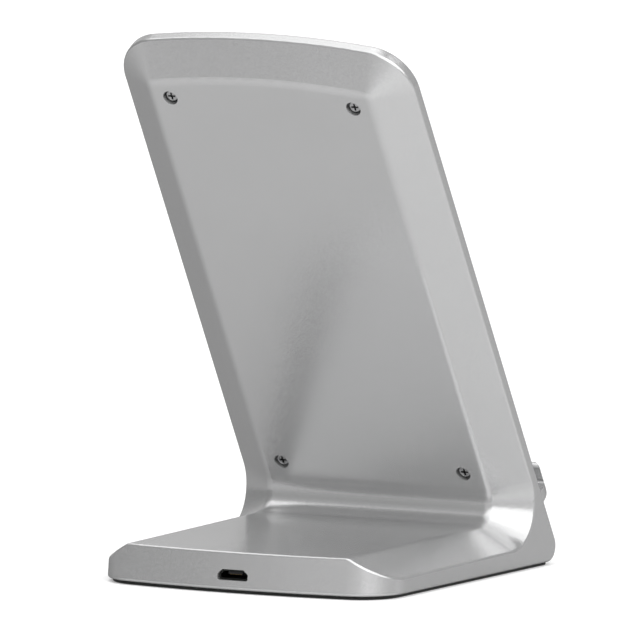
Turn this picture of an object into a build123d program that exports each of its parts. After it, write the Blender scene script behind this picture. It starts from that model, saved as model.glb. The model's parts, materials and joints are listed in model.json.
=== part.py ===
from build123d import *
import os
from math import sin, cos, radians

os.makedirs("parts", exist_ok=True)

# Wireless phone charging stand: a leaning panel on a flat base, with covers, coils and
# electronics. Millimetres, +Z up, +Y to the rear, X across. The origin is the centre of
# the footprint at desk level. The phone faces -Y.
#
# "along" is a distance up the phone face from the front line, "depth" a distance
# behind the face, and "height" a distance above the underside of the housing.

# ---- overall ----
width = 77.0            # across the side walls
lean = 60.0             # angle of the phone face above the desk
pad_thk = 0.8           # foot pad under the base
pad_front = 3.4         # its front edge behind the front line
front_y = -43.366       # Y of the line where phone face and underside would meet

# ---- panel ----
edge_t = 2.75           # thickness of the side walls, square to the face
back_t = 8.0            # thickness of the panel at its flat back
bevel_x = 29.2          # half width of the flat back, inside the side bevels
panel_top = 147.85      # panel length at mid width
top_r = 220.0           # crown of the top edge
top_corner_r = 11.0
flat_top = 139.25       # upper end of the flat back
flat_top_r = 195.0
flat_corner_r = 1.2
join_along = 118.0      # where the straight part of the panel meets its crown

# ---- base ----
base_flat = 9.89        # height of the base's flat top at the front line
base_slope = 0.0115     # fall of the base's top toward the rear
cove_r = 5.05           # inside radius between panel back and base top
nose_r = 3.6            # front lower corner
rear_y = 88.25          # base depth at mid width
rear_r = 190.0          # bow of the rear edge
rear_corner_r = 11.0
rear_lean = 0.117       # the rear face leans forward by this slope

# ---- housing wall and the two covers ----
wall = 1.8
ledge = 0.55            # wall minus the rebate of the covers
rebate_inset = wall - ledge
gap = 0.15              # gap around each cover
rebate_corner = 1.5     # front or lower corners of both rebates
cover_t = 1.6           # front cover plate
rebate_t = 1.65
window_low = 8.5        # lower end of the front rebate
floor_t = 1.2           # bottom cover plate
floor_rebate = 1.25
floor_front = 8.2       # front end of the bottom rebate

# ---- housing screws ----
bore_d = 3.7
seat_depth = 6.0        # depth of the seat under the screw heads

# ---- socket cut-out ----
usb_w = 8.0
usb_h = 2.5
usb_z = 3.5
usb_x = -0.3

# ---- light pipe ----
pipe_w = 5.0
pipe_t = 1.6
pipe_z = 3.7            # its underside
pipe_gap = 0.15

# ---- lip that carries the phone ----
lip_half = 34.6         # half width
lip_reach = 11.1        # outer face in front of the phone face
lip_wall = 2.2          # thickness of its upturned nose
lip_low = 11.5          # underside at the phone face, along the face
lip_nose = 13.5         # and at the nose
lip_ledge = 15.4        # ledge the phone stands on
lip_top = 19.9
lip_root = 0.8          # how deep the lip reaches into the cover plate

# ---- soft inserts on the phone side ----
insert_t = 1.1
insert_edge_r = 0.3
insert_play = 0.3       # a bed is longer and wider than its insert by this
strip_l, strip_w = 46.0, 4.0
strip_sink = 0.6        # bed depth of the grip strips
upper_strip, lower_strip = 118.0, 33.0   # along
ledge_pad_l, ledge_pad_w = 54.0, 5.5
ledge_pad_sink = 0.5
ledge_pad_depth = -5.0  # middle of the ledge pad, in front of the face

# ---- coils and board ----
lower_coil_along, upper_coil_along = 60.0, 92.0
thermistor_along = 84.5
lead_x = 8.1            # middle of each pair of coil leads
coil_t = 0.9
upper_coil_depth = 3.6  # rear faces
lower_coil_depth = 2.65
board_z, board_t = 2.9, 1.0
board_top = board_z + board_t
contact_gap = 0.02      # between a screw head or solder leg and what it lies on


def mirrored(half, others):
    """Points at -half and +half across, at each of the other coordinates."""
    return [(x, other) for x in (-half, half) for other in others]


def grid(centre, pitch, counts):
    """Points of a grid of counts[0] columns and counts[1] rows about a centre."""
    return [
        (
            centre[0] + (column - (counts[0] - 1) / 2) * pitch[0],
            centre[1] + (row - (counts[1] - 1) / 2) * pitch[1],
        )
        for column in range(counts[0])
        for row in range(counts[1])
    ]


# x and along
screw_points = mirrored(24.24, (29.33, 133.38))
tray_points = mirrored(14.0, (33.0, 119.0))
lead_holes = [(-lead_x, lower_coil_along), (lead_x, upper_coil_along), (0.0, thermistor_along)]
# x and distance behind the front line
floor_points = mirrored(31.0, (30.0, 72.0))
board_points = mirrored(20.5, (18.5, 79.0))

# ---- working planes ----
# side: local x rearward, local y up, z across.
# panel: local x across, local y along the phone face, z out of the face, so the plane
# at a depth is panel.offset(-depth).
# across: square to the phone face, local y is depth, z up along the face.
# under: the underside of the housing, local y rearward from the front line.
# rear: upright at the rear edge, local x toward -X, local y up, z rearward.
cos_lean, sin_lean = cos(radians(lean)), sin(radians(lean))
front_line = (0, front_y, pad_thk)
side = Plane(origin=front_line, x_dir=(0, 1, 0), z_dir=(1, 0, 0))
panel = Plane(origin=front_line, x_dir=(1, 0, 0), z_dir=(0, -sin_lean, cos_lean))
across = Plane(origin=front_line, x_dir=(1, 0, 0), z_dir=(0, cos_lean, sin_lean))
under = Plane(origin=front_line)
rear = Plane(origin=(0, front_y + rear_y, pad_thk), x_dir=(-1, 0, 0), z_dir=(0, 1, 0))
out_of_face = Axis((0, 0, 0), (0, -sin_lean, cos_lean))
up_face = Axis((0, 0, 0), (0, cos_lean, sin_lean))


# ---- coordinates ----
def yz(along, depth):
    """Side-plane coordinates of a point given by along and depth."""
    return (along * cos_lean + depth * sin_lean, along * sin_lean - depth * cos_lean)


def at(x, along, depth):
    """The same point at x across, in the part's own frame."""
    y, z = yz(along, depth)
    return (x, front_y + y, pad_thk + z)


def place(point):
    """Distance from mid width, along, depth and height of a point of the part's frame."""
    y, z = point.Y - front_y, point.Z - pad_thk
    return abs(point.X), y * cos_lean + z * sin_lean, y * sin_lean - z * cos_lean, z


def knee(depth, height):
    """Where the plane at a depth meets a sloping base top of the given height."""
    y = (depth + height * cos_lean) / (sin_lean + base_slope * cos_lean)
    return (y, height - base_slope * y)


# ---- selectors ----
def near(sketch, point):
    return [v for v in sketch.vertices() if (Vector(v) - Vector(*point, 0)).length < 1e-4]


def edges_where(builder, test):
    """Edges whose centre passes test(x, along, depth, height)."""
    return [edge for edge in builder.edges() if test(*place(edge.center()))]


def ridge_edges(part, half, back, sign):
    """Rear edges of one side: panel back, cove and base top."""
    found = []
    for edge in part.edges():
        _, _, depth, height = place(edge.center())
        if abs(edge.center().X - sign * half) > 1e-3:
            continue
        on_back = abs(depth - back) < 1e-3
        on_cove = edge.geom_type == GeomType.CIRCLE and height > back - 1.0 and depth > back
        on_base = depth > 20 and back < height < back + 2
        if on_back or on_cove or on_base:
            found.append(edge)
    return found


# ---- outlines ----
outline_l = 160.0       # longer than the panel or the base


def bowed_outline(plane, half, top, crown, corner, low, low_corner=0.0):
    """Outline from low upward, with a bowed far edge at top and rounded far corners."""
    with BuildSketch(plane) as shape:
        with Locations((0, top - crown)):
            Circle(crown)
        with Locations((0, low + outline_l / 2)):
            Rectangle(2 * half, outline_l, mode=Mode.INTERSECT)
        fillet(shape.vertices().group_by(Axis.Y)[-1], corner)
        if low_corner:
            fillet(shape.vertices().group_by(Axis.Y)[0], low_corner)
    return shape.sketch


def panel_outline(depth, inset, low, low_corner=0.0):
    """Panel outline inside the outer edge by inset."""
    return bowed_outline(
        panel.offset(-depth), width / 2 - inset, panel_top - inset,
        top_r - inset, top_corner_r - inset, low, low_corner,
    )


def base_outline(height, inset, front, shift=0.0, front_corner=0.0):
    """Base outline from the given front, its rear edge moved back by shift."""
    return bowed_outline(
        under.offset(height), width / 2 - inset, rear_y + shift - inset,
        rear_r - inset, rear_corner_r - inset, front, front_corner,
    )


def socket_outline(plane, half, low, shoulder, high, cut, corner):
    """Socket section: rounded lower corners, upper corners cut off above the shoulder."""
    left, right = -usb_x - half, -usb_x + half
    with BuildSketch(plane) as shape:
        with BuildLine():
            Polyline(
                (left, low), (right, low), (right, shoulder),
                (right - cut, high), (left + cut, high), (left, shoulder), close=True,
            )
        make_face()
        fillet(shape.vertices().group_by(Axis.Y)[0], corner)
    return shape.sketch


# ---- operations on the part being built ----
def rods(plane, points, radius, start, height, mode=Mode.ADD):
    """Cylinders from the plane offset by start."""
    with BuildSketch(plane.offset(start)) as shape:
        with Locations(*points):
            Circle(radius)
    extrude(shape.sketch, amount=height, mode=mode)


def bars(plane, points, size, start, height, mode=Mode.ADD):
    """Rectangular blocks from the plane offset by start."""
    with BuildSketch(plane.offset(start)) as shape:
        with Locations(*points):
            Rectangle(*size)
    extrude(shape.sketch, amount=height, mode=mode)


def cross_recesses(plane, points, span, slot, start, height):
    """Cross recesses in screw heads."""
    with BuildSketch(plane.offset(start)) as shape:
        with Locations(*points):
            Rectangle(span, slot)
            Rectangle(slot, span)
    extrude(shape.sketch, amount=height, mode=Mode.SUBTRACT)


def bevel_sides(builder, half, back, drop, reach):
    """Long bevels down the panel, round the cove and along the base."""
    for sign in (1, -1):
        chamfer(
            ridge_edges(builder.part, half, back, sign),
            length=drop, length2=reach,
            reference=builder.part.faces().sort_by(Axis.X)[-1 if sign > 0 else 0],
        )


def trim_rear(inset):
    """Keep what lies within the bowed, forward-leaning rear face."""
    below = 2.0
    outline = base_outline(-below, inset, front=-60, shift=below * rear_lean)
    extrude(outline, amount=125, dir=(0, -rear_lean, 1), mode=Mode.INTERSECT)


def save(builder, name):
    part = builder.part
    part.label = name
    export_step(part, f"parts/{name}.step")


# ---- rear housing: outside ----
run_out = 96.0          # side profiles run past the rear edge and are trimmed
bevel_soft_r = 3.6      # between flat back and bevel
side_rim_r = 0.7
front_rim_r = 0.6

top_knee = knee(back_t, base_flat)
with BuildPart() as shell_body:
    with BuildSketch(side.offset(-width / 2)) as l_shape:
        with BuildLine():
            Polyline(
                (0, 0), (run_out, 0), (run_out, base_flat - base_slope * run_out), top_knee,
                yz(join_along, back_t), yz(join_along, 0), close=True,
            )
        make_face()
        fillet(near(l_shape, top_knee), cove_r)
        fillet(near(l_shape, (0, 0)), nose_r)
    extrude(amount=width)
    bevel_sides(shell_body, width / 2, back_t, drop=back_t - edge_t, reach=width / 2 - bevel_x)
    trim_rear(0)

with BuildPart() as crown_body:
    crown_low = panel_outline(edge_t, 0, join_along)
    crown_high = bowed_outline(
        panel.offset(-back_t), bevel_x, flat_top, flat_top_r, flat_corner_r, join_along
    )
    extrude(crown_low, amount=edge_t)
    loft([crown_low, crown_high], ruled=True)

with BuildPart() as outer:
    add(shell_body.part)
    add(crown_body.part)
    # soft line between flat back and bevel, with mitred upper corners
    fillet(edges_where(outer, lambda x, along, depth, height: (
        (abs(depth - back_t) < 2e-2 and along > 30)
        or (abs(x - bevel_x) < 1e-2 and height > 9 and depth > 8.5)
    )), bevel_soft_r)
    # side walls meet the bevel; the round runs on over the corners and the rear edge
    fillet(edges_where(outer, lambda x, along, depth, height: (
        (abs(x - width / 2) < 1e-3 and depth > 2.7 and height > 3.9)
        or (abs(depth - edge_t) < 1e-2 and along > 130)
    )), side_rim_r)
    # front rim, running on round the underside
    fillet(edges_where(outer, lambda x, along, depth, height: (
        abs(depth) < 1e-2 and ((along > 12 and x > 20) or along > 140)
    )), front_rim_r)

# ---- rear housing: inside ----
in_back = back_t - wall
in_flat = base_flat - wall
in_edge = 1.7           # depth of the inner side walls
in_half = width / 2 - wall
in_flat_x = bevel_x - 0.5
in_flat_inset = 0.56    # upper end of the inner flat back below the outer one
in_flat_corner_r = 1.0
in_face = 1.0           # depth where the cavity starts, within the front rebate
in_under = 0.6          # height where it starts, within the bottom rebate
in_front = floor_front + ledge
sill = window_low + ledge
in_knee = knee(in_back, in_flat)
in_nose = ((wall + wall * cos_lean) / sin_lean, wall)

with BuildPart() as cavity:
    with BuildSketch(side.offset(-in_half)) as cavity_shape:
        with BuildLine():
            Polyline(
                (in_front, in_under), (in_front, wall), in_nose,
                yz(sill, wall), yz(sill, in_face),
                yz(join_along, in_face), yz(join_along, in_back), in_knee,
                (run_out, in_flat - base_slope * run_out), (run_out, in_under), close=True,
            )
        make_face()
        fillet(near(cavity_shape, in_knee), cove_r + wall)
        fillet(near(cavity_shape, in_nose), nose_r - wall)
    extrude(amount=2 * in_half)
    bevel_sides(cavity, in_half, in_back, drop=in_back - in_edge, reach=in_half - in_flat_x)
    trim_rear(wall)
    crown_low = panel_outline(in_edge, wall, join_along)
    crown_high = bowed_outline(
        panel.offset(-in_back), in_flat_x, flat_top - in_flat_inset,
        flat_top_r - in_flat_inset, in_flat_corner_r, join_along,
    )
    extrude(crown_low, amount=in_edge - in_face)
    loft([crown_low, crown_high], ruled=True)

with BuildPart() as floor_bosses:
    rods(under, floor_points, radius=2.7, start=floor_rebate, height=7.1)
    add(outer.part, mode=Mode.INTERSECT)

# ---- rear housing ----
cut_over = 2.0          # the front rebate cut runs this far out of the face
bore_over = 0.5         # the screw bores start this far behind the back
with BuildPart() as rear_housing:
    add(outer.part)
    add(cavity.part, mode=Mode.SUBTRACT)
    # rebate for the front cover and rebate for the bottom cover
    extrude(
        panel_outline(rebate_t, rebate_inset, window_low, rebate_corner),
        amount=rebate_t + cut_over, mode=Mode.SUBTRACT,
    )
    extrude(
        base_outline(-1, rebate_inset, floor_front, front_corner=rebate_corner),
        amount=1 + floor_rebate, mode=Mode.SUBTRACT,
    )
    # seats for the housing screws, their head bores and shank holes
    rods(panel, screw_points, radius=3.5, start=1.0 - back_t, height=2.4)
    rods(panel, screw_points, radius=bore_d / 2, start=-back_t - bore_over,
         height=back_t + bore_over - seat_depth, mode=Mode.SUBTRACT)
    rods(panel, screw_points, radius=1.15, start=-seat_depth - 0.2, height=2.0,
         mode=Mode.SUBTRACT)
    # bosses for the bottom cover screws
    add(floor_bosses.part)
    rods(under, floor_points, radius=1.0, start=0, height=6.2, mode=Mode.SUBTRACT)
    # socket cut-out in the rear face
    socket_mouth = socket_outline(
        rear.offset(1.0), half=usb_w / 2, low=usb_z - usb_h / 2, shoulder=usb_z + 0.2,
        high=usb_z + usb_h / 2, cut=1.22, corner=0.55,
    )
    extrude(socket_mouth, amount=-4.0, mode=Mode.SUBTRACT)
    # slot for the light pipe in the lower front band
    bars(under, [(0, 3)], (pipe_w + 2 * pipe_gap, 6), start=pipe_z - pipe_gap,
         height=pipe_t + 2 * pipe_gap, mode=Mode.SUBTRACT)
save(rear_housing, "rear_housing")

# ---- front cover: phone face, lip and screw pillars ----
lip_inner = lip_wall - lip_reach        # depth of the nose's inner face
lip_rounds = [
    # (along, depth) of the corner, radius
    ((lip_nose, -lip_reach), 5.0),
    ((lip_top, -lip_reach), 1.05),
    ((lip_top, lip_inner), 1.05),
    ((lip_ledge, lip_inner), 0.8),
]
lip_end_r = 5.0
plan_d = 16.0           # depth of the plan that trims the lip's ends
bed_cut = 2.0           # beds are cut this far out from their bottoms

with BuildPart() as lip_body:
    with BuildSketch(side.offset(-lip_half)) as lip_shape:
        with BuildLine():
            Polyline(
                yz(lip_low, lip_root), yz(lip_low, 0), yz(lip_nose, -lip_reach),
                yz(lip_top, -lip_reach), yz(lip_top, lip_inner), yz(lip_ledge, lip_inner),
                yz(lip_ledge, lip_root), close=True,
            )
        make_face()
        for corner_point, corner_r in lip_rounds:
            fillet(near(lip_shape, yz(*corner_point)), corner_r)
    extrude(amount=2 * lip_half)
    # ends rounded as seen along the face
    with BuildSketch(across.offset(5)) as lip_plan:
        with Locations((0, plan_d / 2 - lip_reach)):
            Rectangle(2 * lip_half, plan_d)
        fillet(lip_plan.vertices().group_by(Axis.Y)[0], lip_end_r)
    extrude(amount=20, mode=Mode.INTERSECT)

with BuildPart() as front_cover:
    extrude(
        panel_outline(cover_t, rebate_inset + gap, window_low + gap, rebate_corner - gap),
        amount=cover_t,
    )
    add(lip_body.part)
    # shallow beds for the two grip strips and for the ledge pad
    with BuildSketch(panel.offset(-strip_sink)):
        with Locations((0, upper_strip), (0, lower_strip)):
            SlotOverall(strip_l + insert_play, strip_w + insert_play)
    extrude(amount=bed_cut, mode=Mode.SUBTRACT)
    with BuildSketch(across.offset(lip_ledge - ledge_pad_sink)):
        with Locations((0, ledge_pad_depth)):
            RectangleRounded(ledge_pad_l + insert_play, ledge_pad_w + insert_play, 1.0)
    extrude(amount=bed_cut, mode=Mode.SUBTRACT)
    # pillars for the housing screws
    rods(panel, screw_points, radius=2.8, start=-4.5, height=3.0)
    rods(panel, screw_points, radius=1.0, start=-4.6, height=3.6, mode=Mode.SUBTRACT)
    # posts for the coil tray
    rods(panel, tray_points, radius=2.2, start=-4.35, height=2.85)
    rods(panel, tray_points, radius=0.8, start=-4.5, height=2.9, mode=Mode.SUBTRACT)
save(front_cover, "front_cover")

# ---- bottom cover with board standoffs ----
with BuildPart() as bottom_cover:
    extrude(
        base_outline(0, rebate_inset + gap, floor_front + gap, front_corner=rebate_corner - gap),
        amount=floor_t,
    )
    rods(under, board_points, radius=2.3, start=floor_t, height=1.65)
    rods(under, board_points, radius=0.85, start=0.4, height=3.0, mode=Mode.SUBTRACT)
    # screw holes, countersunk from below
    with Locations(under):
        with Locations(*[Location((x, y, 0), (180, 0, 0)) for x, y in floor_points]):
            CounterSinkHole(radius=1.05, counter_sink_radius=1.95, depth=floor_t)
save(bottom_cover, "bottom_cover")

# ---- foot pad ----
with BuildPart() as base_pad:
    extrude(base_outline(-pad_thk, 1.2, pad_front, front_corner=3.0), amount=pad_thk)
save(base_pad, "base_pad")

# ---- soft inserts on the phone side ----
with BuildPart() as ledge_pad:
    with BuildSketch(across.offset(lip_ledge - ledge_pad_sink)):
        with Locations((0, ledge_pad_depth)):
            RectangleRounded(ledge_pad_l, ledge_pad_w, 0.9)
    extrude(amount=insert_t)
    fillet(ledge_pad.edges().group_by(up_face)[-1], insert_edge_r)
save(ledge_pad, "ledge_pad")

for name, strip_along in (("upper_grip_strip", upper_strip), ("lower_grip_strip", lower_strip)):
    with BuildPart() as grip_strip:
        with BuildSketch(panel.offset(-strip_sink)):
            with Locations((0, strip_along)):
                SlotOverall(strip_l, strip_w)
        extrude(amount=insert_t)
        fillet(grip_strip.edges().group_by(out_of_face)[-1], insert_edge_r)
    save(grip_strip, name)

# ---- light pipe with a collar, flush with the rounded front ----
with BuildPart() as light_pipe:
    bars(under, [(0, 7)], (pipe_w, 13.2), start=pipe_z, height=pipe_t)
    bars(under, [(0, 6.3)], (7.0, 1.0), start=3.3, height=2.4)
    add(outer.part, mode=Mode.INTERSECT)
save(light_pipe, "light_pipe")

# ---- coil tray ----
tray_low, tray_high = 36.5, 115.5
tray_mid = (tray_low + tray_high) / 2
tray_w, tray_l, tray_corner_r = 55.0, tray_high - tray_low, 8.0
tray_rim = 1.0          # wall thickness of the rim
tray_depth = 5.0        # rear face
lead_hole_size = (4.4, 2.8, 1.2)        # width, length, corner radius

with BuildPart() as coil_tray:
    # floor with a tab at each screw
    with BuildSketch(panel.offset(-tray_depth)):
        with Locations((0, tray_mid)):
            RectangleRounded(tray_w, tray_l, tray_corner_r)
        with Locations(*tray_points):
            Rectangle(6.0, 9.0)
    extrude(amount=0.6)
    with BuildSketch(panel.offset(-4.5)):
        with Locations((0, tray_mid)):
            RectangleRounded(tray_w, tray_l, tray_corner_r)
            RectangleRounded(
                tray_w - 2 * tray_rim, tray_l - 2 * tray_rim, tray_corner_r - tray_rim,
                mode=Mode.SUBTRACT,
            )
    extrude(amount=2.5)
    with BuildSketch(panel.offset(-5.5)):
        with Locations(*tray_points):
            Circle(0.9)
        with Locations(*lead_holes):
            RectangleRounded(*lead_hole_size)
    extrude(amount=1.5, mode=Mode.SUBTRACT)
save(coil_tray, "coil_tray")

with BuildPart() as ferrite_plate:
    with BuildSketch(panel.offset(-4.35)):
        with Locations((0, tray_mid)):
            RectangleRounded(52.0, 76.0, 7.0)
        with Locations(*lead_holes):
            RectangleRounded(*lead_hole_size, mode=Mode.SUBTRACT)
    extrude(amount=0.7)
save(ferrite_plate, "ferrite_plate")


# ---- coils ----
def coil_outline(depth, along):
    """Rounded coil with a window, centred at along."""
    with BuildSketch(panel.offset(-depth)) as shape:
        with Locations((0, along)):
            RectangleRounded(50.0, 44.0, 16.0)
            RectangleRounded(24.0, 18.0, 3.5, mode=Mode.SUBTRACT)
    return shape.sketch


for name, coil_depth, coil_along in (
    ("upper_coil", upper_coil_depth, upper_coil_along),
    ("lower_coil", lower_coil_depth, lower_coil_along),
):
    with BuildPart() as coil:
        extrude(coil_outline(coil_depth, coil_along), amount=coil_t)
    save(coil, name)

# spacer behind the lower coil, cut off below the upper one
spacer_end, spacer_cut_l = 69.0, 30.0
with BuildPart() as coil_spacer:
    extrude(coil_outline(upper_coil_depth, lower_coil_along), amount=coil_t)
    bars(panel, [(0, spacer_end + spacer_cut_l / 2)], (60.0, spacer_cut_l),
         start=-3.7, height=1.2, mode=Mode.SUBTRACT)
save(coil_spacer, "coil_spacer")

with BuildPart() as foam_tape:
    bars(panel, mirrored(19, (tray_mid,)), (6.0, 54.0), start=-6.15, height=1.1)
save(foam_tape, "foam_tape")

# ---- leads and thermistor ----
lead_depth = 3.1        # at the coils
lead_back_depth = 5.55  # behind the tray
lead_bend_r = 0.9
lead_pitch_half = 0.9   # each lead from the middle of its pair


def wire_run(x, start, radius):
    """Lead from a coil window back through the tray and down to the board."""
    with BuildPart() as run:
        with BuildLine():
            FilletPolyline(
                at(x, start + 4, lead_depth), at(x, start, lead_depth),
                at(x, start, lead_back_depth), at(x, 15.5, lead_back_depth),
                (x, front_y + 15.2, pad_thk + 5.6), (x, front_y + 19.0, pad_thk + 4.4),
                radius=lead_bend_r,
            )
        with BuildSketch(Plane(
            origin=at(x, start + 4, lead_depth), z_dir=(0, -cos_lean, -sin_lean)
        )):
            Circle(radius)
        sweep()
    return run.part


with BuildPart() as coil_leads:
    for middle, lead_along in ((-lead_x, lower_coil_along), (lead_x, upper_coil_along)):
        for x in (middle - lead_pitch_half, middle + lead_pitch_half):
            add(wire_run(x, lead_along, 0.4))
save(coil_leads, "coil_leads")

with BuildPart() as thermistor:
    for x in (-0.45, 0.45):
        add(wire_run(x, thermistor_along, 0.22))
    # bead over the ends of the two wires
    with BuildSketch(Plane(
        origin=at(0, 88.0, lead_depth), x_dir=(1, 0, 0), z_dir=(0, cos_lean, sin_lean)
    )):
        Circle(0.45)
        with Locations((0.35, 0), (-0.35, 0)):
            Circle(0.45)
    extrude(amount=2.4)
save(thermistor, "thermistor")

# ---- board, with a notch at the rear for the socket ----
with BuildPart() as main_board:
    with BuildSketch(under.offset(board_z)):
        with Locations((0, 49.0)):
            RectangleRounded(48.0, 70.0, 1.5)
        with Locations((usb_x, 82.0)):
            Rectangle(7.9, 4.8, mode=Mode.SUBTRACT)
        with Locations(*board_points):
            Circle(1.15, mode=Mode.SUBTRACT)
    extrude(amount=board_t)
save(main_board, "main_board")

# ---- socket ----
leg_z = board_top + contact_gap
contact_pitch = (0.65, 1)
contact_counts = (5, 1)
contact_w = 0.35
shell_shoulder = usb_z + 0.15
shell_corner = 0.4

with BuildPart() as usb_shell:
    shell_outside = socket_outline(
        rear.offset(-1.05), half=3.7, low=2.4, shoulder=shell_shoulder, high=4.6, cut=1.1,
        corner=shell_corner,
    )
    extrude(shell_outside, amount=-6.4)
    shell_inside = socket_outline(
        rear.offset(-1.0), half=3.45, low=2.65, shoulder=shell_shoulder, high=4.35, cut=1.0,
        corner=shell_corner,
    )
    extrude(shell_inside, amount=-6.2, mode=Mode.SUBTRACT)
    # one leg on the board at each side
    bars(under, [(usb_x - 4.02, 82.4), (usb_x + 4.02, 82.4)], (1.76, 1.4),
         start=leg_z, height=0.25)
save(usb_shell, "usb_shell")

with BuildPart() as usb_tongue:
    bars(under, [(usb_x, 81.85)], (4.2, 1.3), start=2.8, height=1.4)
    bars(under, [(usb_x, 84.3)], (3.7, 4.2), start=3.6, height=0.55)
save(usb_tongue, "usb_tongue")

with BuildPart() as usb_contacts:
    # under the tongue, then on the board
    bars(under, grid((usb_x, 84.4), contact_pitch, contact_counts), (contact_w, 3.6),
         start=3.46, height=0.12)
    bars(under, grid((usb_x, 79.2), contact_pitch, contact_counts), (contact_w, 2.4),
         start=leg_z, height=0.14)
save(usb_contacts, "usb_contacts")

# ---- components on the board ----
chip_z = board_top + 0.04

with BuildPart() as indicator_led:
    bars(under, [(0, 15.1)], (3.0, 1.4), start=chip_z, height=1.1)
    fillet(indicator_led.edges().filter_by(Axis.Z), 0.25)
save(indicator_led, "indicator_led")

with BuildPart() as power_inductor:
    with BuildSketch(under.offset(chip_z)):
        with Locations((14.0, 64.5)):
            RectangleRounded(7.0, 7.0, 1.6)
    extrude(amount=2.9)
    fillet(power_inductor.edges().group_by(Axis.Z)[-1], 0.5)
save(power_inductor, "power_inductor")

capacitor_points = [
    point for x in (-14.5, 14.5) for point in grid((x, 33), (6.6, 6.0), (2, 2))
]
passive_points = (
    grid((-8.5, 46), (3.2, 2.4), (2, 4))
    + grid((8.5, 46), (3.2, 2.4), (2, 4))
    + grid((-14.0, 64.5), (2.8, 2.2), (4, 3))
    + grid((0, 70.5), (3.0, 2.2), (4, 2))
)
components = [
    # name, centres, (width, length), height, finish of the top edges and its size
    ("controller_chip", [(0, 46)], (6.0, 6.0), 0.9, chamfer, 0.15),
    ("power_mosfets", grid((0, 56.5), (5.0, 4.6), (3, 2)), (3.3, 3.3), 0.85, chamfer, 0.12),
    ("resonance_capacitors", capacitor_points, (5.0, 4.6), 2.2, fillet, 0.3),
    ("board_passives", passive_points, (1.6, 0.8), 0.6, None, 0),
]
for name, points, size, block_height, finish, finish_size in components:
    with BuildPart() as component:
        bars(under, points, size, start=chip_z, height=block_height)
        if finish:
            finish(component.edges().group_by(Axis.Z)[-1], finish_size)
    save(component, name)

# ---- fasteners, each group of identical screws in one file ----
housing_head_t = 1.25
with BuildPart() as housing_screws:
    rods(panel, screw_points, radius=0.95, start=-seat_depth, height=4.6)
    rods(panel, screw_points, radius=1.68, start=-seat_depth - housing_head_t,
         height=housing_head_t)
    fillet(housing_screws.edges().group_by(out_of_face)[0], 0.55)
    cross_recesses(panel, screw_points, span=1.9, slot=0.48, start=-seat_depth - 1.4,
                   height=0.85)
save(housing_screws, "housing_screws")

tray_head_t = 0.75
tray_seat = tray_depth + contact_gap
with BuildPart() as tray_screws:
    rods(panel, tray_points, radius=0.72, start=-tray_seat, height=3.2)
    rods(panel, tray_points, radius=1.4, start=-tray_seat - tray_head_t, height=tray_head_t)
    cross_recesses(panel, tray_points, span=1.6, slot=0.4, start=-6.0, height=0.6)
save(tray_screws, "tray_screws")

board_screw_low = 0.9
board_seat = board_top + contact_gap
with BuildPart() as board_screws:
    rods(under, board_points, radius=0.8, start=board_screw_low,
         height=board_seat - board_screw_low)
    rods(under, board_points, radius=1.6, start=board_seat, height=1.1)
    fillet(board_screws.edges().group_by(Axis.Z)[-1], 0.4)
    cross_recesses(under, board_points, span=1.7, slot=0.42, start=board_top + 0.5, height=1.0)
save(board_screws, "board_screws")

shank_r = 0.95
from_below = (Align.CENTER, Align.CENTER, Align.MIN)
with BuildPart() as bottom_cover_screws:
    with Locations(under):
        with Locations(*[(x, y, 0.06) for x, y in floor_points]):
            Cone(1.8, shank_r, 0.85, align=from_below)
            Cylinder(shank_r, 5.6, align=from_below)
    cross_recesses(under, floor_points, span=1.7, slot=0.42, start=0, height=0.6)
save(bottom_cover_screws, "bottom_cover_screws")
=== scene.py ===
import json
from math import atan2, cos, hypot, pi, radians, sin, sqrt

import bmesh
import bpy
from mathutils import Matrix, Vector, noise


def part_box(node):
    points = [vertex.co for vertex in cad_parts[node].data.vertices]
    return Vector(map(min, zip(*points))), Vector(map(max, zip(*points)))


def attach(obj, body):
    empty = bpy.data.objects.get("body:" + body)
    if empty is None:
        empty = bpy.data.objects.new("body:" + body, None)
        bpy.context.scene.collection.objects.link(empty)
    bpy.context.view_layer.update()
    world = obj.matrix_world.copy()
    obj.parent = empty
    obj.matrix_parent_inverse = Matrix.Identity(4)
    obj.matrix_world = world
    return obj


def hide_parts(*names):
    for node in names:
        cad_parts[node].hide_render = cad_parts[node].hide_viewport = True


# Wireless phone charging stand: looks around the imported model. Metres, +Z up,
# phone face toward -Y, rear socket toward +Y.
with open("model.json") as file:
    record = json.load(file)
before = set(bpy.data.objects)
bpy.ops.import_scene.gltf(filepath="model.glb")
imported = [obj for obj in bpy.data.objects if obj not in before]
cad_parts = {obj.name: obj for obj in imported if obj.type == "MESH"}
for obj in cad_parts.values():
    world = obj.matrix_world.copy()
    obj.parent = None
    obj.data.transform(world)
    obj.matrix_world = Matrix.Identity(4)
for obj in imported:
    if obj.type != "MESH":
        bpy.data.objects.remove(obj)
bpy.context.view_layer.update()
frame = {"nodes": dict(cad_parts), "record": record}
scene = bpy.context.scene
MM = 0.001

# ---- the leaning phone face, placed from its mount ----
LEAN = radians(60)
LEAN_COS, LEAN_SIN = cos(LEAN), sin(LEAN)
REST_UP_FACE = 0.075  # from the foot of the face up to the mount
rest = [m for m in frame["record"]["mounts"] if m["name"] == "phone_rest"][0]["pos_m"]
FACE_Y = rest[1] - REST_UP_FACE * LEAN_COS
FACE_Z = rest[2] - REST_UP_FACE * LEAN_SIN


def on_face(across, up, behind):
    """Point across the phone face, up it and behind it, given in mm, returned in metres."""
    return Vector((
        across * MM,
        FACE_Y + (up * LEAN_COS + behind * LEAN_SIN) * MM,
        FACE_Z + (up * LEAN_SIN - behind * LEAN_COS) * MM,
    ))


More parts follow.
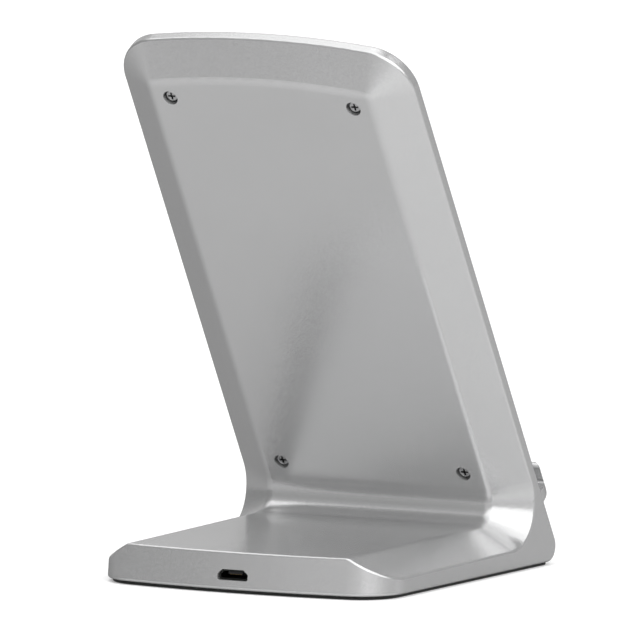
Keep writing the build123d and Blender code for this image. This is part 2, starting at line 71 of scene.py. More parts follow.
# ---------------------------------------------------------------- node graphs
class Graph:
    """An emptied node tree, with short ways to add nodes to it."""

    def __init__(self, tree):
        self.tree = tree
        tree.nodes.clear()

    def node(self, kind, inputs=None, **props):
        """Adds a node; inputs maps socket names or numbers to values or sockets."""
        made = self.tree.nodes.new("ShaderNode" + kind)
        for key, value in props.items():
            setattr(made, key, value)
        for key, value in (inputs or {}).items():
            if value is not None:
                self.put(made.inputs[key], value)
        return made

    def put(self, socket, value):
        if isinstance(value, bpy.types.NodeSocket):
            self.tree.links.new(value, socket)
        elif isinstance(value, tuple) and len(value) == 3 and socket.type == "RGBA":
            socket.default_value = (*value, 1.0)
        else:
            socket.default_value = value

    def math(self, operation, *values):
        return self.node("Math", dict(enumerate(values)), operation=operation).outputs[0]

    def scaled(self, value, amount):
        return self.math("MULTIPLY", value, amount)

    def plus(self, base, mask, amount):
        """base + mask * amount"""
        return self.math("MULTIPLY_ADD", mask, amount, base)

    def vary(self, base, pattern, amount):
        """base, moved up and down by a pattern centred on 0.5"""
        return self.plus(base, self.math("SUBTRACT", pattern, 0.5), amount)

    def vmath(self, operation, first, second=None, scale=None):
        made = self.node("VectorMath", {0: first, 1: second, "Scale": scale}, operation=operation)
        return made.outputs["Value" if operation == "DOT_PRODUCT" else "Vector"]

    def remap(self, value, span, to=(0.0, 1.0), smooth=False):
        """Carries span onto to, clamped at both ends."""
        inputs = {0: value, "From Min": span[0], "From Max": span[1],
                  "To Min": to[0], "To Max": to[1]}
        curve = "SMOOTHSTEP" if smooth else "LINEAR"
        return self.node("MapRange", inputs, clamp=True, interpolation_type=curve).outputs[0]


class Surface(Graph):
    """A material with a Principled shader and object coordinates."""

    def __init__(self, name):
        self.material = bpy.data.materials.new(name)
        self.material.use_nodes = True
        super().__init__(self.material.node_tree)
        self.out = self.node("OutputMaterial")
        self.bsdf = self.node("BsdfPrincipled")
        self.put(self.out.inputs["Surface"], self.bsdf.outputs["BSDF"])
        self.pos = self.node("TexCoord").outputs["Object"]

    def set(self, **inputs):
        for key, value in inputs.items():
            self.put(self.bsdf.inputs[key.replace("_", " ")], value)

    def noise(self, scale, detail, rough, coords=None):
        inputs = {"Vector": coords or self.pos, "Scale": scale,
                  "Detail": detail, "Roughness": rough}
        return self.node("TexNoise", inputs).outputs["Fac"]

    def cells(self, scale, out="Distance", feature="F1", coords=None):
        inputs = {"Vector": coords or self.pos, "Scale": scale}
        return self.node("TexVoronoi", inputs, feature=feature).outputs[out]

    def mix(self, fac, low, high):
        return self.node("Mix", {0: fac, 6: low, 7: high}, data_type="RGBA").outputs[2]

    def combine(self, channels):
        return self.node("CombineColor", dict(enumerate(channels))).outputs[0]

    def bump(self, height, strength, distance, normal=None):
        inputs = {"Strength": strength, "Distance": distance, "Height": height, "Normal": normal}
        return self.node("Bump", inputs).outputs["Normal"]

    def edge(self, radius):
        """1 along convex or concave edges tighter than radius, else 0."""
        soft = self.node("Bevel", {"Radius": radius}, samples=4).outputs["Normal"]
        true = self.node("NewGeometry").outputs["Normal"]
        turn = self.math("SUBTRACT", 1.0, self.vmath("DOT_PRODUCT", soft, true))
        return self.remap(turn, span=(0.02, 0.25), smooth=True)


def tinted(colour, gain, lift=0.0):
    return tuple(min(1.0, channel * gain + lift) for channel in colour)


# ---------------------------------------------------------------- materials
SILVER_LEVEL = 0.56  # mean grey of the paint
SILVER_TINT = (0.998, 1.0, 1.004)  # a trace toward blue


def silver(name, seed):
    """Satin metallic silver paint: fine flake under a thin clear film, faint orange
    peel, polished edges and a little handling haze."""
    mat = Surface(name)
    shift = mat.vmath("ADD", mat.pos, (seed, seed * 0.7, seed * 0.3))
    flake = mat.cells(scale=7600, out="Color", coords=shift)
    shade = mat.node("SeparateColor", {0: flake}).outputs
    cloud = mat.noise(scale=55, detail=3, rough=0.5, coords=shift)
    grain = mat.noise(scale=2600, detail=2, rough=0.5, coords=shift)
    scuff = mat.noise(scale=420, detail=4, rough=0.6, coords=shift)
    worn = mat.math("MULTIPLY", mat.edge(radius=0.0005),
                    mat.remap(scuff, span=(0.42, 0.72), to=(0.15, 1.0)))

    tone = mat.vary(SILVER_LEVEL, shade[0], amount=0.085)
    tone = mat.vary(tone, cloud, amount=0.030)
    tone = mat.vary(tone, grain, amount=0.030)
    tone = mat.plus(tone, worn, amount=0.07)
    colour = mat.combine([mat.scaled(tone, amount=tint) for tint in SILVER_TINT])

    aside = mat.vmath("ADD", shift, (0.31, 0.0, 0.17))
    haze = mat.noise(scale=30, detail=2, rough=0.5, coords=aside)
    rough = mat.vary(0.225, shade[1], amount=0.05)
    rough = mat.math("ADD", rough, mat.remap(haze, span=(0.3, 0.7), to=(-0.012, 0.016)))
    rough = mat.plus(rough, worn, amount=-0.06)

    # flakes lie almost flat in the paint, each a little turned
    tilt = mat.vmath("SUBTRACT", flake, (0.5, 0.5, 0.5))
    flat = mat.node("NewGeometry").outputs["Normal"]
    turned = mat.vmath("NORMALIZE", mat.vmath("ADD", flat, mat.vmath("SCALE", tilt, scale=0.085)))
    peel = mat.noise(scale=640, detail=1, rough=0.4, coords=shift)
    mat.set(Base_Color=colour, Metallic=0.75, Roughness=rough,
            Normal=mat.bump(peel, strength=0.10, distance=0.00002, normal=turned),
            Coat_Weight=0.3, Coat_Roughness=0.12, Coat_IOR=1.45,
            Coat_Normal=mat.bump(peel, strength=0.05, distance=0.00002))
    return mat.material


def moulded(name, colour, rough, texture, bump=0.35, depth=0.00004, sheen=0.0, spread=0.25,
            spec=0.5):
    """Spark-textured or fine matte moulded plastic and rubber."""
    mat = Surface(name)
    vein = mat.noise(scale=texture, detail=4, rough=0.6)
    pore = mat.cells(scale=texture * 1.7)
    cloud = mat.noise(scale=70, detail=4, rough=0.6)
    mark = mat.remap(mat.noise(scale=300, detail=6, rough=0.7), span=(0.55, 0.8))
    edge = mat.edge(radius=0.0003)

    base = mat.mix(mat.remap(vein, span=(0.3, 0.7)), tinted(colour, gain=1 - spread),
                   tinted(colour, gain=1 + spread, lift=0.004))
    base = mat.mix(mat.scaled(mark, amount=0.18), base, tinted(colour, gain=1.25, lift=0.012))
    base = mat.mix(mat.scaled(edge, amount=0.35), base, tinted(colour, gain=1.5, lift=0.01))
    gloss = mat.plus(mat.vary(rough, cloud, amount=0.14), mark, amount=0.06)
    height = mat.math("ADD", vein, mat.scaled(pore, amount=0.5))
    mat.set(Base_Color=base, Roughness=gloss,
            Normal=mat.bump(height, strength=bump, distance=depth),
            Sheen_Weight=sheen, Sheen_Roughness=0.45, Specular_IOR_Level=spec)
    return mat.material


def metal(name, colour, rough, lines=(1.0, 1.0, 14.0), texture=900, tarnish=0.25,
          dark=(0.05, 0.05, 0.055)):
    """Plated or turned metal: fine drawn lines, a patchy tarnish film, and painted shade that
    darkens the hollows.
    """
    mat = Surface(name)
    stretched = mat.vmath("MULTIPLY", mat.pos, lines)
    drawn = mat.noise(scale=texture, detail=4, rough=0.65, coords=stretched)
    film = mat.noise(scale=380, detail=4, rough=0.6)
    # painted shade: ambient occlusion darkens the hollows toward the dark colour and roughens them
    hollow = mat.node("AmbientOcclusion", {"Distance": 0.0009}, samples=6).outputs["AO"]
    hollow_shade = mat.remap(hollow, span=(0.25, 0.85), to=(1.0, 0.0), smooth=True)
    edge = mat.edge(radius=0.00015)

    base = mat.mix(mat.remap(film, span=(0.35, 0.7), to=(0.0, tarnish)),
                   colour, tinted(colour, gain=0.72))
    base = mat.mix(mat.scaled(hollow_shade, amount=0.75), base, dark)
    base = mat.mix(mat.scaled(edge, amount=0.5), base, tinted(colour, gain=1.25, lift=0.05))
    gloss = mat.plus(mat.vary(rough, drawn, amount=0.22), hollow_shade, amount=0.15)
    mat.set(Base_Color=base, Metallic=1.0, Roughness=gloss,
            Normal=mat.bump(drawn, strength=0.18, distance=0.00002))
    return mat.material


def enamel_wire(name):
    """Stranded enamelled copper: the strands spiral round each turn of the coil."""
    along_per_metre, strands_round = 5200.0, 5  # phase in radians; strands round the wire
    mat = Surface(name)
    wire_uv = mat.node("UVMap", uv_map="wire").outputs[0]
    along, around = mat.node("SeparateXYZ", {0: wire_uv}).outputs[:2]
    lay = mat.math("ADD", mat.scaled(along, along_per_metre),
                   mat.scaled(around, 2 * pi * strands_round))
    strand = mat.plus(0.5, mat.math("SINE", lay), amount=0.5)
    warm = mat.noise(scale=240, detail=3, rough=0.6)
    base = mat.mix(strand, (0.30, 0.10, 0.035), (0.80, 0.36, 0.16))
    base = mat.mix(mat.remap(warm, span=(0.4, 0.7), to=(0.0, 0.4)), base, (0.55, 0.20, 0.07))
    mat.set(Base_Color=base, Metallic=0.85,
            Roughness=mat.remap(warm, span=(0.3, 0.7), to=(0.26, 0.42)),
            Normal=mat.bump(strand, strength=0.5, distance=0.00006),
            Coat_Weight=0.5, Coat_Roughness=0.15)
    return mat.material


def board_mask(name):
    """Green solder mask with copper routing showing through as a faint relief."""
    mat = Surface(name)
    track = mat.cells(scale=320, feature="DISTANCE_TO_EDGE")
    line = mat.remap(track, span=(0.04, 0.09), to=(1.0, 0.0), smooth=True)
    weave = mat.noise(scale=1800, detail=2, rough=0.5)
    base = mat.mix(line, (0.012, 0.10, 0.045), (0.03, 0.20, 0.085))
    base = mat.mix(mat.remap(weave, span=(0.3, 0.7), to=(0.0, 0.25)), base, (0.02, 0.07, 0.03))
    mat.set(Base_Color=base, Roughness=mat.remap(weave, span=(0.3, 0.7), to=(0.22, 0.38)),
            Normal=mat.bump(line, strength=0.4, distance=0.00004),
            Coat_Weight=0.4, Coat_Roughness=0.12)
    return mat.material


def ceramic(name, colour):
    """Speckled, veined ceramic body."""
    mat = Surface(name)
    speck = mat.noise(scale=2200, detail=4, rough=0.7)
    vein = mat.noise(scale=500, detail=3, rough=0.6)
    base = mat.mix(mat.remap(speck, span=(0.35, 0.7), to=(0.0, 0.5)),
                   colour, tinted(colour, gain=0.7))
    base = mat.mix(mat.remap(vein, span=(0.5, 0.8), to=(0.0, 0.25)),
                   base, tinted(colour, gain=1.3))
    mat.set(Base_Color=base, Roughness=mat.remap(vein, span=(0.3, 0.7), to=(0.28, 0.45)),
            Normal=mat.bump(speck, strength=0.2, distance=0.00003))
    return mat.material


def clear(name):
    """Clear, lightly frosted moulded light pipe."""
    mat = Surface(name)
    frost = mat.noise(scale=1600, detail=3, rough=0.6)
    flow = mat.noise(scale=160, detail=3, rough=0.5)
    base = mat.mix(mat.remap(flow, span=(0.3, 0.7)), (0.82, 0.86, 0.88), (0.93, 0.95, 0.96))
    mat.set(Base_Color=base, Roughness=mat.remap(frost, span=(0.3, 0.7), to=(0.14, 0.30)),
            IOR=1.49, Transmission_Weight=0.75,
            Normal=mat.bump(frost, strength=0.25, distance=0.00002))
    return mat.material


def cell_foam(name):
    """Dark closed-cell foam."""
    mat = Surface(name)
    cell = mat.cells(scale=2400)
    tint = mat.noise(scale=200, detail=4, rough=0.6)
    base = mat.mix(mat.remap(cell, span=(0.0, 0.6)), (0.012, 0.012, 0.013), (0.06, 0.06, 0.062))
    base = mat.mix(mat.remap(tint, span=(0.4, 0.7), to=(0.0, 0.3)), base, (0.03, 0.03, 0.032))
    mat.set(Base_Color=base, Roughness=mat.remap(tint, span=(0.3, 0.7), to=(0.82, 0.95)),
            Normal=mat.bump(cell, strength=0.8, distance=0.00012), Sheen_Weight=0.3)
    return mat.material


finishes = {
    "silver_body": silver("silver_body_paint", seed=0.0),
    "silver_front": silver("silver_front_paint", seed=0.9),
    "black_plastic": moulded("black_matte_plastic", (0.016, 0.016, 0.017), rough=0.60,
                             texture=1700, spec=0.35),
    "foot_rubber": moulded("foot_rubber", (0.016, 0.017, 0.016), rough=0.74, texture=1300,
                           bump=0.45, depth=0.00005, sheen=0.25, spread=0.3, spec=0.35),
    "grip_silicone": moulded("grip_silicone", (0.030, 0.030, 0.031), rough=0.62, texture=2400,
                             bump=0.22, depth=0.00002, sheen=0.3, spread=0.2, spec=0.4),
    "clear_plastic": clear("clear_light_pipe"),
    "tray_plastic": moulded("natural_plastic", (0.62, 0.61, 0.57), rough=0.42, texture=900,
                            bump=0.18, depth=0.00003, spread=0.06),
    "ferrite": moulded("sintered_ferrite", (0.045, 0.045, 0.05), rough=0.50, texture=2600,
                       bump=0.5, depth=0.00003, spread=0.4),
    "copper_wire": enamel_wire("enamelled_strand"),
    "lead_insulation": moulded("lead_insulation", (0.42, 0.035, 0.03), rough=0.33,
                               texture=1200, bump=0.12, depth=0.00002, spread=0.12),
    "epoxy_bead": moulded("dipped_epoxy", (0.035, 0.03, 0.028), rough=0.25, texture=900,
                          bump=0.15, depth=0.00002, spread=0.3),
    "foam": cell_foam("closed_cell_foam"),
    "circuit_board": board_mask("solder_mask"),
    "plated_steel": metal("nickel_plated_steel", (0.66, 0.65, 0.63), rough=0.24),
    # painted shade: the port's shell gets a near-black colour so the inside of the port reads as
    # shade
    "blackened_steel": metal("port_shell_painted_shade", (0.030, 0.032, 0.030), rough=0.45,
                             texture=1200, dark=(0.004, 0.004, 0.004)),
    # painted shade: the gold is dimmed to stand in for the shade inside the port
    "gold_contacts": metal("gold_dimmed_as_port_shade", (0.20, 0.15, 0.065), rough=0.34, texture=1500,
                           tarnish=0.15, dark=(0.18, 0.11, 0.03)),
    "led_body": ceramic("led_package", (0.80, 0.79, 0.74)),
    "chip_epoxy": moulded("chip_epoxy", (0.026, 0.026, 0.029), rough=0.48, texture=2600,
                          bump=0.4, depth=0.00003, spread=0.3),
    "capacitor_ceramic": ceramic("capacitor_ceramic", (0.40, 0.26, 0.15)),
    "inductor_core": moulded("inductor_core", (0.075, 0.075, 0.078), rough=0.55,
                             texture=1900, bump=0.5, spread=0.35),
    # painted shade: the near-black hollow colour darkens the cross recess and the head's hollows
    "dark_steel": metal("zinc_plated_screw", (0.46, 0.46, 0.465), rough=0.22,
                        lines=(1.0, 1.0, 6.0), texture=1400, tarnish=0.35,
                        dark=(0.008, 0.009, 0.008)),
}
slot_of = {part["node"]: part["material_slot"] for part in frame["record"]["subparts"]}
for name, obj in frame["nodes"].items():
    obj.data.materials.clear()
    obj.data.materials.append(finishes[slot_of[name]])


# ---------------------------------------------------------------- mesh helpers, in mm
def shown(name, verts, faces, node, uvs=None):
    """Puts a finished mesh in the scene in place of a CAD node."""
    mesh = bpy.data.meshes.new(name)
    mesh.from_pydata([tuple(v) for v in verts], [], faces)
    bm = bmesh.new()
    bm.from_mesh(mesh)
    bmesh.ops.recalc_face_normals(bm, faces=bm.faces)
    bm.to_mesh(mesh)
    bm.free()
    if uvs is not None:
        layer = mesh.uv_layers.new(name="wire")
        for loop in mesh.loops:
            layer.data[loop.index].uv = uvs[loop.vertex_index]
    mesh.shade_smooth()
    mesh.set_sharp_from_angle(angle=radians(40))
    obj = bpy.data.objects.new(name, mesh)
    scene.collection.objects.link(obj)
    obj.data.materials.append(finishes[slot_of[node]])
    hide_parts(node)
    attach(obj, "root")


def half_width(node):
    low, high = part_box(node)
    return (high.x - low.x) / 2 / MM


def arc(x, y, radius, start, sweep, steps):
    """Points on an arc round (x, y), both ends included."""
    angles = [start + sweep * i / steps for i in range(steps + 1)]
    return [(x + radius * cos(a), y + radius * sin(a)) for a in angles]


def between(start, end, steps):
    """Points dividing a straight line, both ends left out."""
    return [(start[0] + (end[0] - start[0]) * i / steps,
             start[1] + (end[1] - start[1]) * i / steps) for i in range(1, steps)]


def round_rect(half_x, half_y, radius, corner, side):
    """Outline of a rounded rectangle, counter-clockwise, always with as many points."""
    radius = max(min(radius, half_x - 1e-4, half_y - 1e-4), 1e-3)
    arcs = [arc(sx * (half_x - radius), sy * (half_y - radius), radius, k * pi / 2, pi / 2, corner)
            for k, (sx, sy) in enumerate([(1, 1), (-1, 1), (-1, -1), (1, -1)])]
    points = []
    for k, bend in enumerate(arcs):
        points += bend + between(bend[-1], arcs[(k + 1) % 4][0], side)
    return points


def wall(rings, count):
    """Quads joining successive closed rings of count points."""
    faces = []
    for ring in range(rings - 1):
        low, high = ring * count, (ring + 1) * count
        for i in range(count):
            j = (i + 1) % count
            faces.append((low + i, low + j, high + j, high + i))
    return faces


def stack(rings, place):
    """Closed mesh through equal outlines; rings holds (outline, height)."""
    verts = [place(x, y, height) for outline, height in rings for x, y in outline]
    count = len(rings[0][0])
    faces = wall(len(rings), count)
    faces.append(tuple(range(count - 1, -1, -1)))
    faces.append(tuple(range(len(verts) - count, len(verts))))
    return verts, faces


def pad_profile(round_off, top, grooves, reach, crown, step):
    """(inset, height) pairs of a crowned pad, rounded at its upper edge, out to an
    inset of reach. grooves holds (inset of centre, half width, depth)."""
    pairs = [(0.22, 0.0), (0.06, 0.04), (0.0, 0.16), (0.0, top - round_off - crown)]
    for i in range(1, 7):
        a = i * pi / 12
        pairs.append((round_off * (1 - cos(a)), top - crown - round_off * (1 - sin(a))))
    inset = round_off + step
    while inset < reach:
        height = top - crown * (1 - inset / reach) ** 2
        for centre, half, depth in grooves:
            offset = abs(inset - centre) / half
            if offset < 1:
                height -= depth * (0.5 + 0.5 * cos(pi * offset))
        pairs.append((inset, height))
        inset += step
    return pairs


# ---------------------------------------------------------------- ledge pad
LEDGE_UP, LEDGE_BEHIND = 14.9, -5.0  # underside and centre line on the face
LEDGE_HALF_DEPTH, LEDGE_CORNER = 2.75, 0.9
LEDGE_GROOVES = [(1.0, 0.26, 0.16), (1.85, 0.26, 0.16)]


def ledge_pad():
    """Soft strip with two grooves running round it."""
    half = half_width("ledge_pad")
    profile = pad_profile(round_off=0.3, top=1.1, grooves=LEDGE_GROOVES, reach=2.6,
                          crown=0.05, step=0.12)
    rings = [(round_rect(half - d, LEDGE_HALF_DEPTH - d, LEDGE_CORNER - d, corner=8, side=30), h)
             for d, h in profile]
    verts, faces = stack(rings, lambda x, y, h: on_face(x, LEDGE_UP + h, LEDGE_BEHIND + y))
    shown("ledge_pad_moulding", verts, faces, "ledge_pad")


ledge_pad()

# ---------------------------------------------------------------- grip strips
GRIP_RADIUS = 2.0  # half the strip's width, and its end radius
GRIP_SEAT = 0.6  # depth of the underside behind the face


def grip_strip(node, up):
    """Pill-shaped strip, crowned, with a fine groove round the crown."""
    half = half_width(node)
    profile = pad_profile(round_off=0.3, top=1.1, grooves=[(0.95, 0.22, 0.10)], reach=1.93,
                          crown=0.10, step=0.08)
    rings = [(round_rect(half - d, GRIP_RADIUS - d, GRIP_RADIUS - d, corner=12, side=30), h)
             for d, h in profile]
    verts, faces = stack(rings, lambda x, y, h: on_face(x, up + y, GRIP_SEAT - h))
    shown(node + "_moulding", verts, faces, node)


grip_strip("upper_grip_strip", up=118.0)
grip_strip("lower_grip_strip", up=33.0)

# ---------------------------------------------------------------- foot pad
FOOT_HALF_WIDTH, FOOT_FRONT = 37.3, 3.4  # y is measured rearward from FACE_Y
BOW_RADIUS, BOW_Y = 188.8, -101.75  # bowed rear edge: radius and centre
REAR_CORNER, FRONT_CORNER = 9.8, 3.0
CORNER_STEPS, SIDE_STEPS, BOW_STEPS = 10, 14, 26

# (inset, height) from the middle of the underside, over its groove and round the rim
# to the top
FOOT_PROFILE = [
    (5.2, 0.0), (4.6, 0.0), (4.35, 0.10), (4.1, 0.22), (3.7, 0.22), (3.45, 0.10),
    (3.2, 0.0), (1.2, 0.0), (0.30, 0.0), (0.14, 0.03), (0.04, 0.10), (0.0, 0.20),
    (0.0, 0.68), (0.05, 0.78), (0.16, 0.80), (1.5, 0.80),
]


def foot_outline(inset):
    """Counter-clockwise outline with a bowed rear edge, from the +X rear corner."""
    half, front = FOOT_HALF_WIDTH - inset, FOOT_FRONT + inset
    bow = BOW_RADIUS - inset
    rear = max(REAR_CORNER - inset, 0.5)
    low = max(FRONT_CORNER - inset, 0.4)
    rear_x, low_x, low_y = half - rear, half - low, front + low
    # the rear corners touch the bow from inside, where both have turned as far
    rear_y = BOW_Y + sqrt((bow - rear) ** 2 - rear_x ** 2)
    turn = atan2(rear_y - BOW_Y, rear_x)
    points = arc(rear_x, rear_y, rear, 0.0, turn, CORNER_STEPS)
    points += arc(0.0, BOW_Y, bow, turn, pi - 2 * turn, BOW_STEPS)[1:-1]
    points += arc(-rear_x, rear_y, rear, pi - turn, turn, CORNER_STEPS)
    points += between((-half, rear_y), (-half, low_y), SIDE_STEPS)
    points += arc(-low_x, low_y, low, pi, pi / 2, CORNER_STEPS)
    points += between((-low_x, front), (low_x, front), SIDE_STEPS)
    points += arc(low_x, low_y, low, 1.5 * pi, pi / 2, CORNER_STEPS)
    points += between((half, low_y), (half, rear_y), SIDE_STEPS)
    return points


verts, faces = stack([(foot_outline(inset), height) for inset, height in FOOT_PROFILE],
                     lambda x, y, h: Vector((x * MM, FACE_Y + y * MM, h * MM)))
shown("foot_pad_sheet", verts, faces, "base_pad")

# ---------------------------------------------------------------- coils
WINDOW_HALF_X, WINDOW_HALF_Y, WINDOW_CORNER = 12.0, 9.0, 3.5
FIRST_TURN = 0.50  # from the window's edge to the first turn's centre
TURNS, TURN_PITCH = 13, 0.92
CORNER_GROWTH = 12.5 / 13.0  # corner radius gained per mm outward
COIL_CORNER, COIL_SIDE = 9, 5  # steps round each corner and along each side
TURN_STEPS = 4 * (COIL_CORNER + COIL_SIDE)
WIRE_RADIUS, WIRE_SIDES = 0.43, 8


def winding(name, node, up, behind):
    """Flat racetrack winding: one continuous strand from the window outward."""
    path = []
    for step in range(TURNS * TURN_STEPS + 1):
        out = FIRST_TURN + TURN_PITCH * (step / TURN_STEPS)
        outline = round_rect(WINDOW_HALF_X + out, WINDOW_HALF_Y + out,
                             WINDOW_CORNER + out * CORNER_GROWTH, COIL_CORNER, COIL_SIDE)
        path.append(outline[step % TURN_STEPS])
    verts, uvs, run = [], [], 0.0
    for i, (x, y) in enumerate(path):
        last_x, last_y = path[max(i - 1, 0)]
        next_x, next_y = path[min(i + 1, len(path) - 1)]
        length = hypot(next_x - last_x, next_y - last_y)
        normal_x, normal_y = (next_y - last_y) / length, -(next_x - last_x) / length
        run += hypot(x - last_x, y - last_y) * MM
        for k in range(WIRE_SIDES):
            a = 2 * pi * k / WIRE_SIDES
            aside = WIRE_RADIUS * cos(a)
            verts.append(on_face(x + normal_x * aside, up + y + normal_y * aside,
                                 behind + WIRE_RADIUS * sin(a)))
            uvs.append((run, k / WIRE_SIDES))
    faces = wall(len(path), WIRE_SIDES)
    faces.append(tuple(range(WIRE_SIDES)))
    faces.append(tuple(range(len(verts) - WIRE_SIDES, len(verts))))
    shown(name, verts, faces, node, uvs=uvs)


winding("upper_coil_winding", "upper_coil", up=92.0, behind=3.15)
winding("lower_coil_winding", "lower_coil", up=60.0, behind=2.20)

# ---------------------------------------------------------------- foam tapes
TAPE_CENTRES_X = (-19.0, 19.0)
TAPE_UP, TAPE_BEHIND = 76.0, 6.15
TAPE_HALF_X, TAPE_HALF_Y = 3.0, 27.0
TAPE_WAVER = 0.05  # unevenness of the skin

# (inset, height) round the tape's section
TAPE_PROFILE = [
    (1.6, 0.0), (0.8, 0.0), (0.25, 0.0), (0.05, 0.08), (0.0, 0.3), (0.03, 0.55),
    (0.0, 0.8), (0.06, 1.0), (0.25, 1.1), (0.8, 1.1), (1.6, 1.1),
]


def foam_tape(centre_x):
    """One closed-cell strip with an uneven skin, flat at its rim."""
    def skin(x, y, height):
        lift = noise.noise(Vector((x * 0.9, y * 0.9, height * 2.0 + centre_x))) * TAPE_WAVER
        inner = min(TAPE_HALF_X - abs(x), TAPE_HALF_Y - abs(y), 0.4) / 0.4
        facing = -1 if height < 0.5 else 1
        return on_face(centre_x + x * (1 - 0.004 * (1 + lift)), TAPE_UP + y,
                       TAPE_BEHIND - height - (lift - TAPE_WAVER) * inner * facing)

    return stack([(round_rect(TAPE_HALF_X - d, TAPE_HALF_Y - d, 0.3, corner=3, side=40), h)
                  for d, h in TAPE_PROFILE], skin)


verts, faces = [], []
for centre_x in TAPE_CENTRES_X:
    tape_verts, tape_faces = foam_tape(centre_x)
    faces += [tuple(i + len(verts) for i in face) for face in tape_faces]
    verts += tape_verts
shown("foam_tape_strips", verts, faces, "foam_tape")

# ---------------------------------------------------------------- floor
FLOOR_RADIUS, FLOOR_Z = 6.0, -0.00005
FLOOR_MEAN, FLOOR_TILT = 0.595, 0.37  # reflected brightness and its change across


def pale_floor():
    """Plain and pale to the camera; in the stand's gloss its brightness changes
    with the direction it is seen from."""
    mat = Surface("pale_floor")
    tint = mat.noise(scale=9, detail=4, rough=0.5)
    paper = mat.noise(scale=900, detail=3, rough=0.6)
    incoming = mat.node("NewGeometry").outputs["Incoming"]
    away = mat.vmath("DOT_PRODUCT", incoming, (0.6, -0.8, 0.0))
    glow = mat.plus(FLOOR_MEAN, away, FLOOR_TILT)
    glow = mat.vary(glow, tint, amount=0.02)
    steep = mat.math("ABSOLUTE", mat.vmath("DOT_PRODUCT", incoming, (0.0, 0.0, 1.0)))
    far = mat.math("MULTIPLY", mat.remap(steep, span=(0.12, 0.40), to=(0.33, 0.0)),
                   mat.remap(away, span=(0.0, 0.35)))
    glow = mat.math("MULTIPLY", glow, mat.math("SUBTRACT", 1.0, far))
    pale = mat.mix(mat.remap(tint, span=(0.3, 0.7)), (0.80, 0.80, 0.80), (0.83, 0.83, 0.83))
    eye = mat.node("LightPath").outputs["Is Camera Ray"]
    mat.set(Base_Color=mat.mix(eye, mat.combine([glow] * 3), pale), Roughness=0.8,
            Normal=mat.bump(paper, strength=0.05, distance=0.00005), Specular_IOR_Level=0.0)
    # a little extra light, for the camera only
    plain = mat.bsdf.outputs[0]
    lift = mat.node("Emission", {"Strength": 0.25}).outputs[0]
    lifted = mat.node("AddShader", {0: plain, 1: lift}).outputs[0]
    surface = mat.node("MixShader", {0: eye, 1: plain, 2: lifted}).outputs[0]
    mat.put(mat.out.inputs["Surface"], surface)
    return mat.material


floor_mesh = bpy.data.meshes.new("floor")
bm = bmesh.new()
bmesh.ops.create_circle(bm, cap_ends=True, segments=96, radius=FLOOR_RADIUS)
bm.to_mesh(floor_mesh)
bm.free()
floor = bpy.data.objects.new("floor", floor_mesh)
floor.location.z = FLOOR_Z
scene.collection.objects.link(floor)
floor.data.materials.append(pale_floor())

# ---------------------------------------------------------------- world
KEY = (-0.55, 0.40, 0.73)
BASE_LEVEL = 0.36

# soft patches of light: direction, strength, cosines of the inner and outer edge, and
# the heights above the horizon it fades in between
LOBES = [
    (KEY, 1.80, 0.77, 0.69, (0.13, 0.20)),
    ((0.36, -0.02, 0.93), 1.60, 0.95, 0.82, None),
    ((0.49, 0.45, 0.75), 0.28, 1.0, 0.90, None),
    ((-0.35, 0.93, 0.0), 0.50, 1.0, 0.32, None),
    ((-1.0, -0.10, 0.10), 0.30, 1.0, 0.30, None),
    ((0.45, -0.85, 0.20), 0.32, 0.98, 0.50, None),
]


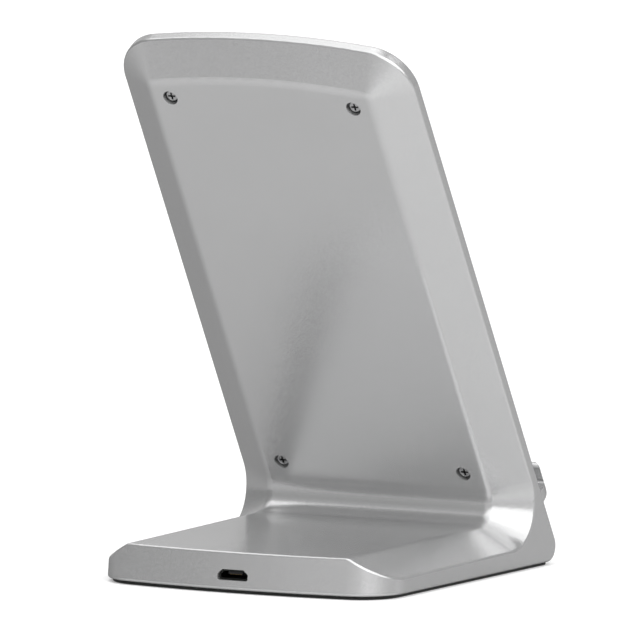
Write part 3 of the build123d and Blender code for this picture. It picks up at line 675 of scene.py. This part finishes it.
def studio():
    """Uneven studio light, seen by the camera as plain white."""
    world = bpy.data.worlds.new("studio")
    scene.world = world
    world.use_nodes = True
    graph = Graph(world.node_tree)
    sky = graph.node("TexCoord").outputs["Generated"]
    level = None
    for direction, strength, inner, outer, fade in LOBES:
        toward = graph.vmath("DOT_PRODUCT", sky, Vector(direction).normalized())
        patch = graph.remap(toward, span=(outer, inner), to=(0.0, strength), smooth=True)
        if fade is not None:
            height = graph.node("SeparateXYZ", {0: sky}).outputs[2]
            patch = graph.math("MULTIPLY", patch, graph.remap(height, span=fade))
        level = patch if level is None else graph.math("ADD", level, patch)
    total = graph.math("ADD", level, BASE_LEVEL)
    light = graph.node("Background", {"Strength": total}).outputs[0]
    white = graph.node("Background", {"Strength": 1.0, "Color": (1, 1, 1)}).outputs[0]
    eye = graph.node("LightPath").outputs["Is Camera Ray"]
    pick = graph.node("MixShader", {0: eye, 1: light, 2: white}).outputs[0]
    graph.node("OutputWorld", {"Surface": pick})


studio()


# ---------------------------------------------------------------- lights
def softbox(name, place, side, watts):
    """Square area light aimed at the stand."""
    lamp = bpy.data.lights.new(name, "AREA")
    lamp.shape = "RECTANGLE"
    lamp.size = lamp.size_y = side
    lamp.energy = watts
    obj = bpy.data.objects.new(name, lamp)
    scene.collection.objects.link(obj)
    obj.location = place
    obj.rotation_mode = "QUATERNION"
    aim = Vector((0, 0, 0.05)) - Vector(place)
    obj.rotation_quaternion = aim.to_track_quat("-Z", "Y")


softbox("key_softbox", Vector(KEY).normalized() * 0.95, side=0.55, watts=0.55)
softbox("top_softbox", (0.12, -0.05, 0.90), side=0.35, watts=0.15)

scene.view_settings.view_transform = "Standard"
scene.view_settings.look = "None"
scene.view_settings.exposure = 0.0
scene.view_settings.gamma = 1.0

# ---------------------------------------------------------------- camera
# it looks from behind and to the -X side, a little above the desk
AZIMUTH, ELEVATION = radians(209.42), radians(6.633)
TARGET = Vector((0.0, FACE_Y + 0.04626, 0.05929))
VIEW_WIDTH = 0.14796  # width in view at the focus distance
EXTRA_DISTANCE = 0.012

toward_camera = Vector((sin(AZIMUTH) * cos(ELEVATION), -cos(AZIMUTH) * cos(ELEVATION),
                        sin(ELEVATION)))
lens = bpy.data.cameras.new("camera")
lens.lens, lens.sensor_width = 1600.0, 36.0
lens.clip_start, lens.clip_end = 0.1, 30.0
distance = VIEW_WIDTH * lens.lens / lens.sensor_width + EXTRA_DISTANCE
camera = bpy.data.objects.new("camera", lens)
scene.collection.objects.link(camera)
camera.location = TARGET + toward_camera * distance
camera.rotation_mode = "QUATERNION"
camera.rotation_quaternion = (-toward_camera).to_track_quat("-Z", "Y")
scene.camera = camera
